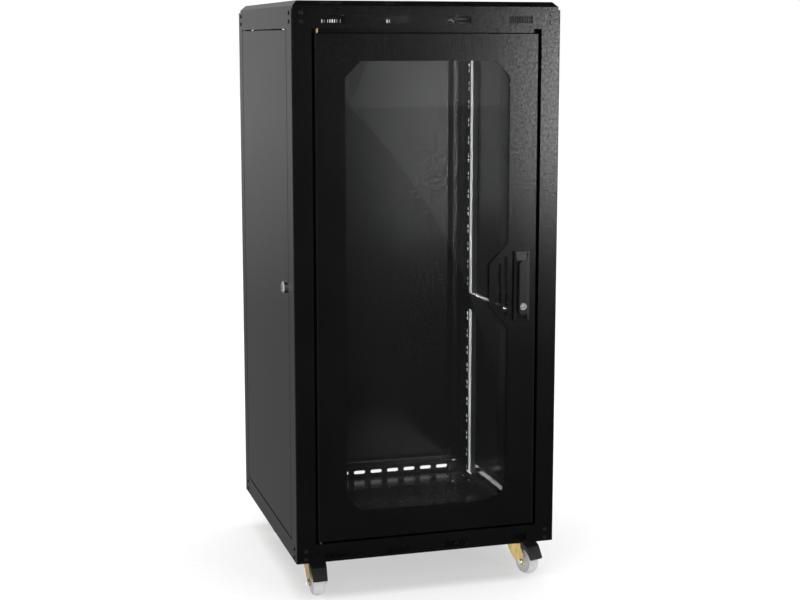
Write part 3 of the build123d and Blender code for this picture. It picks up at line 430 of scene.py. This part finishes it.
handle_plate()
# The brake pedals get the lighter plastic, whose lighter base colour is painted light.
for corner in BRAKED:
    frame["nodes"]["brake_pedal_" + corner].data.materials[0] = PEDAL_PLASTIC_PAINTED_LIGHT
soften(["brake_pedal_" + corner for corner in BRAKED], PEDAL_EDGE, segments=4)
soften(["caster_fork_" + corner for corner in CORNERS], FORK_EDGE)


# ---- Studio ----
FLOOR_HALF = 30.0
CARD_Y = -4.3  # distance of the cards, and of the lights that stand among them
CARD_EDGE = (-0.911, -0.923, 2.542)  # X and Z of the round edge's centre, and its radius
CARD_EDGE_ANGLES = range(-8, 91, 2)
CARD_RIGHT = 1.72
CARD_TOP = 3.0
CARD_RISE = (-0.7, 0.95)  # heights between which a card's glow rises
CARD_FADE = (0.70, 1.0)  # X between which it fades in
CARD_GLOW = 0.32
BACK_CARD_Z = (-1.25, 1.25)
BACK_CARD_GLOW = 0.08

# The world's glows, and the directions between which each fades in or out.
WALL_GLOW = (0.19, 0.42)
WALL_Z = (-0.17, -0.05)
BEHIND_Y = (0.1, 0.6)
SIDE_GLOW = 0.6
SIDE_X = (0.52, 0.70)
FRONT_GLOW = 0.35
FRONT_LEFT_X = (-0.24, -0.12)
FRONT_RIGHT_X = (0.04, 0.10)
FRONT_Y = (-0.6, -0.3)
DIM_GLOW = 0.018

BACK_NODES = ["rear_door_panel", "rear_lock_housing", "rear_lock_core", "post_rear_left", "post_rear_right",
              "beam_rear_bottom", "beam_rear_top", "beam_left_bottom", "rack_rail_rear_left", "floor_plate"]
CASTER_NODES = ["caster_plates", "caster_bolts"] + [
    part + "_" + corner for part in ("caster_fork", "caster_axle") for corner in CORNERS]
LEDGE_NODES = ["beam_right_bottom", "beam_rear_bottom", "side_braces"]
SIDE_NODES = ["side_panel_right", "beam_right_bottom", "side_braces", "rack_rail_rear_right"]

OVERHEAD_STRENGTH = 3.3
OVERHEAD_ANGLE = math.radians(60)
SOFTBOXES = {
    "key_right": {"place": (2.50, CARD_Y, 0.93), "target": (0.25, -0.3, 0.93),
                  "size": (1.16, 1.08), "radiance": 13.5},
    "fill_left": {"place": (-2.4, -3.4, 2.2), "target": (0.2, 0.0, 0.9),
                  "size": (1.2, 1.6), "radiance": 6.0},
}
INSIDE_LIGHTS = {
    "back_key": {"nodes": BACK_NODES, "place": (1.70, CARD_Y, 0.92), "target": (0.15, 0.3, 0.9),
                 "size": (0.35, 1.5), "radiance": 7.0},
    "side_key": {"nodes": SIDE_NODES, "place": (-1.3, 4.3, 1.0), "target": (0.3, 0.0, 1.0),
                 "size": (1.0, 1.4), "radiance": 0.3},
    "floor_glow": {"nodes": CASTER_NODES, "place": (0.0, 0.0, 0.001), "target": (0.0, 0.0, 1.0),
                   "size": (3.0, 3.0), "radiance": 0.5},
    "ledge_key": {"nodes": LEDGE_NODES, "place": (1.85, 4.3, 1.45), "target": (0.27, 0.0, 0.3),
                  "size": (1.6, 1.0), "radiance": 1.4},
    "zinc_key": {"nodes": ["rail_carriers"], "place": (-1.2, 4.3, 0.3), "target": (0.25, 0.15, 0.3),
                 "size": (1.0, 3.0), "radiance": 1.5},
}


def stage_object(name, points, faces, paint):
    mesh = bpy.data.meshes.new(name)
    mesh.from_pydata(points, [], faces)
    mesh.materials.append(paint)
    made = bpy.data.objects.new(name, mesh)
    bpy.context.scene.collection.objects.link(made)
    return made


def floor():
    """Pale matt floor that glows a little, so that its shadows stay pale. Black paint doesn't mirror it."""
    paint, n = material("floor_paint")
    grain = n.noise(40.0, detail=3.0)
    finish_material(n, n.add("ShaderNodeBsdfPrincipled", {
        "Base Color": n.ramp(grain, (0.3, (0.44,) * 3), (0.7, (0.46,) * 3)),
        "Roughness": 0.8,
        "Specular IOR Level": 0.1,
        "Emission Color": (1.0, 1.0, 1.0, 1.0),
        "Emission Strength": 0.52,
    }))
    far = FLOOR_HALF
    corners = [(-far, -far, 0), (far, -far, 0), (far, far, 0), (-far, far, 0)]
    made = stage_object("floor", corners, [(0, 1, 2, 3)], paint)
    made.visible_glossy = False


def dim_card(name, outline, low, high):
    """Dim card behind the camera that only glossy surfaces see. Its glow rises from low to high."""
    paint, n = material(name + "_glow")
    spot = n.add("ShaderNodeSeparateXYZ", {0: n.place()}).outputs
    glow = n.math("MULTIPLY", n.span(spot["Z"], low, high, *CARD_RISE),
                  n.span(spot["X"], 0.0, 1.0, *CARD_FADE))
    lamp = n.add("ShaderNodeEmission", {"Color": (1.0, 1.0, 1.0, 1.0), "Strength": glow})
    clear = n.add("ShaderNodeBsdfTransparent")
    finish_material(n, n.add("ShaderNodeAddShader", {0: lamp.outputs[0], 1: clear.outputs[0]}))
    made = stage_object(name, [(x, CARD_Y, z) for x, z in outline], [range(len(outline))], paint)
    made.visible_camera = False
    made.visible_diffuse = False
    made.visible_transmission = False
    made.visible_shadow = False


def reflector_cards():
    """A card with a round cut-out, whose edge the door's glass mirrors, and a plain one that overlaps it."""
    cx, cz, radius = CARD_EDGE
    edge = [(cx + radius * math.cos(math.radians(a)), cz + radius * math.sin(math.radians(a)))
            for a in CARD_EDGE_ANGLES]
    outline = edge + [(cx, CARD_TOP), (CARD_RIGHT, CARD_TOP), (CARD_RIGHT, edge[0][1])]
    dim_card("curved_card", outline, 0.0, CARD_GLOW)
    left, low, high = CARD_FADE[0], *BACK_CARD_Z
    outline = [(left, low), (CARD_RIGHT, low), (CARD_RIGHT, high), (left, high)]
    dim_card("back_card", outline, BACK_CARD_GLOW, BACK_CARD_GLOW)


def softbox(name, place, target, size, radiance):
    """Rectangular area light that faces a point. The camera doesn't see it, but glossy surfaces do."""
    data = bpy.data.lights.new(name, "AREA")
    data.shape = "RECTANGLE"
    data.size, data.size_y = size
    data.energy = radiance * math.pi * size[0] * size[1]
    made = bpy.data.objects.new(name, data)
    made.location = place
    made.rotation_euler = (Vector(target) - Vector(place)).to_track_quat("-Z", "Y").to_euler()
    made.visible_camera = False
    bpy.context.scene.collection.objects.link(made)
    return made


def inside_light(name, nodes, **light):
    """Softbox that shines only on these CAD nodes, where other light is scarce. Only they shadow it."""
    made = softbox(name, **light)
    chosen = bpy.data.collections.new(name + "_nodes")
    for node in nodes:
        chosen.objects.link(frame["nodes"][node])
    made.light_linking.receiver_collection = chosen
    made.light_linking.blocker_collection = chosen
    made.data.cycles.use_multiple_importance_sampling = False


def overhead_light():
    """Soft light straight down, for an even white floor."""
    data = bpy.data.lights.new("overhead", "SUN")
    data.energy = OVERHEAD_STRENGTH
    data.angle = OVERHEAD_ANGLE
    made = bpy.data.objects.new("overhead", data)
    made.visible_glossy = False
    bpy.context.scene.collection.objects.link(made)


def surroundings():
    """White to the camera. The object mirrors a studio that is pale behind and beside it and dim in front."""
    world = bpy.data.worlds.new("studio")
    bpy.context.scene.world = world
    world.use_nodes = True
    n = Nodes(world.node_tree)
    coords = n.add("ShaderNodeTexCoord").outputs["Generated"]
    direction = n.add("ShaderNodeSeparateXYZ", {0: coords}).outputs
    wall = n.span(direction["Z"], *WALL_GLOW, *WALL_Z)
    behind = n.math("MULTIPLY", wall, n.span(direction["Y"], 0.0, 1.0, *BEHIND_Y))
    beside = n.span(n.math("ABSOLUTE", direction["X"]), 0.0, SIDE_GLOW, *SIDE_X)
    ahead = n.math("MULTIPLY", n.span(direction["X"], 0.0, FRONT_GLOW, *FRONT_LEFT_X),
                   n.span(direction["X"], 1.0, 0.0, *FRONT_RIGHT_X))
    ahead = n.math("MULTIPLY", ahead, n.span(direction["Y"], 1.0, 0.0, *FRONT_Y))
    glow = n.math("MAXIMUM", n.math("MAXIMUM", behind, beside), n.math("MAXIMUM", ahead, DIM_GLOW))
    seen = n.add("ShaderNodeLightPath").outputs["Is Camera Ray"]
    light = n.add("ShaderNodeBackground", {
        "Color": (1.0, 1.0, 1.0, 1.0),
        "Strength": n.math("MAXIMUM", glow, seen),
    })
    n.add("ShaderNodeOutputWorld", {"Surface": light.outputs[0]})


floor()
surroundings()
reflector_cards()
overhead_light()
for name, light in SOFTBOXES.items():
    softbox(name, **light)
for name, light in INSIDE_LIGHTS.items():
    inside_light(name, **light)
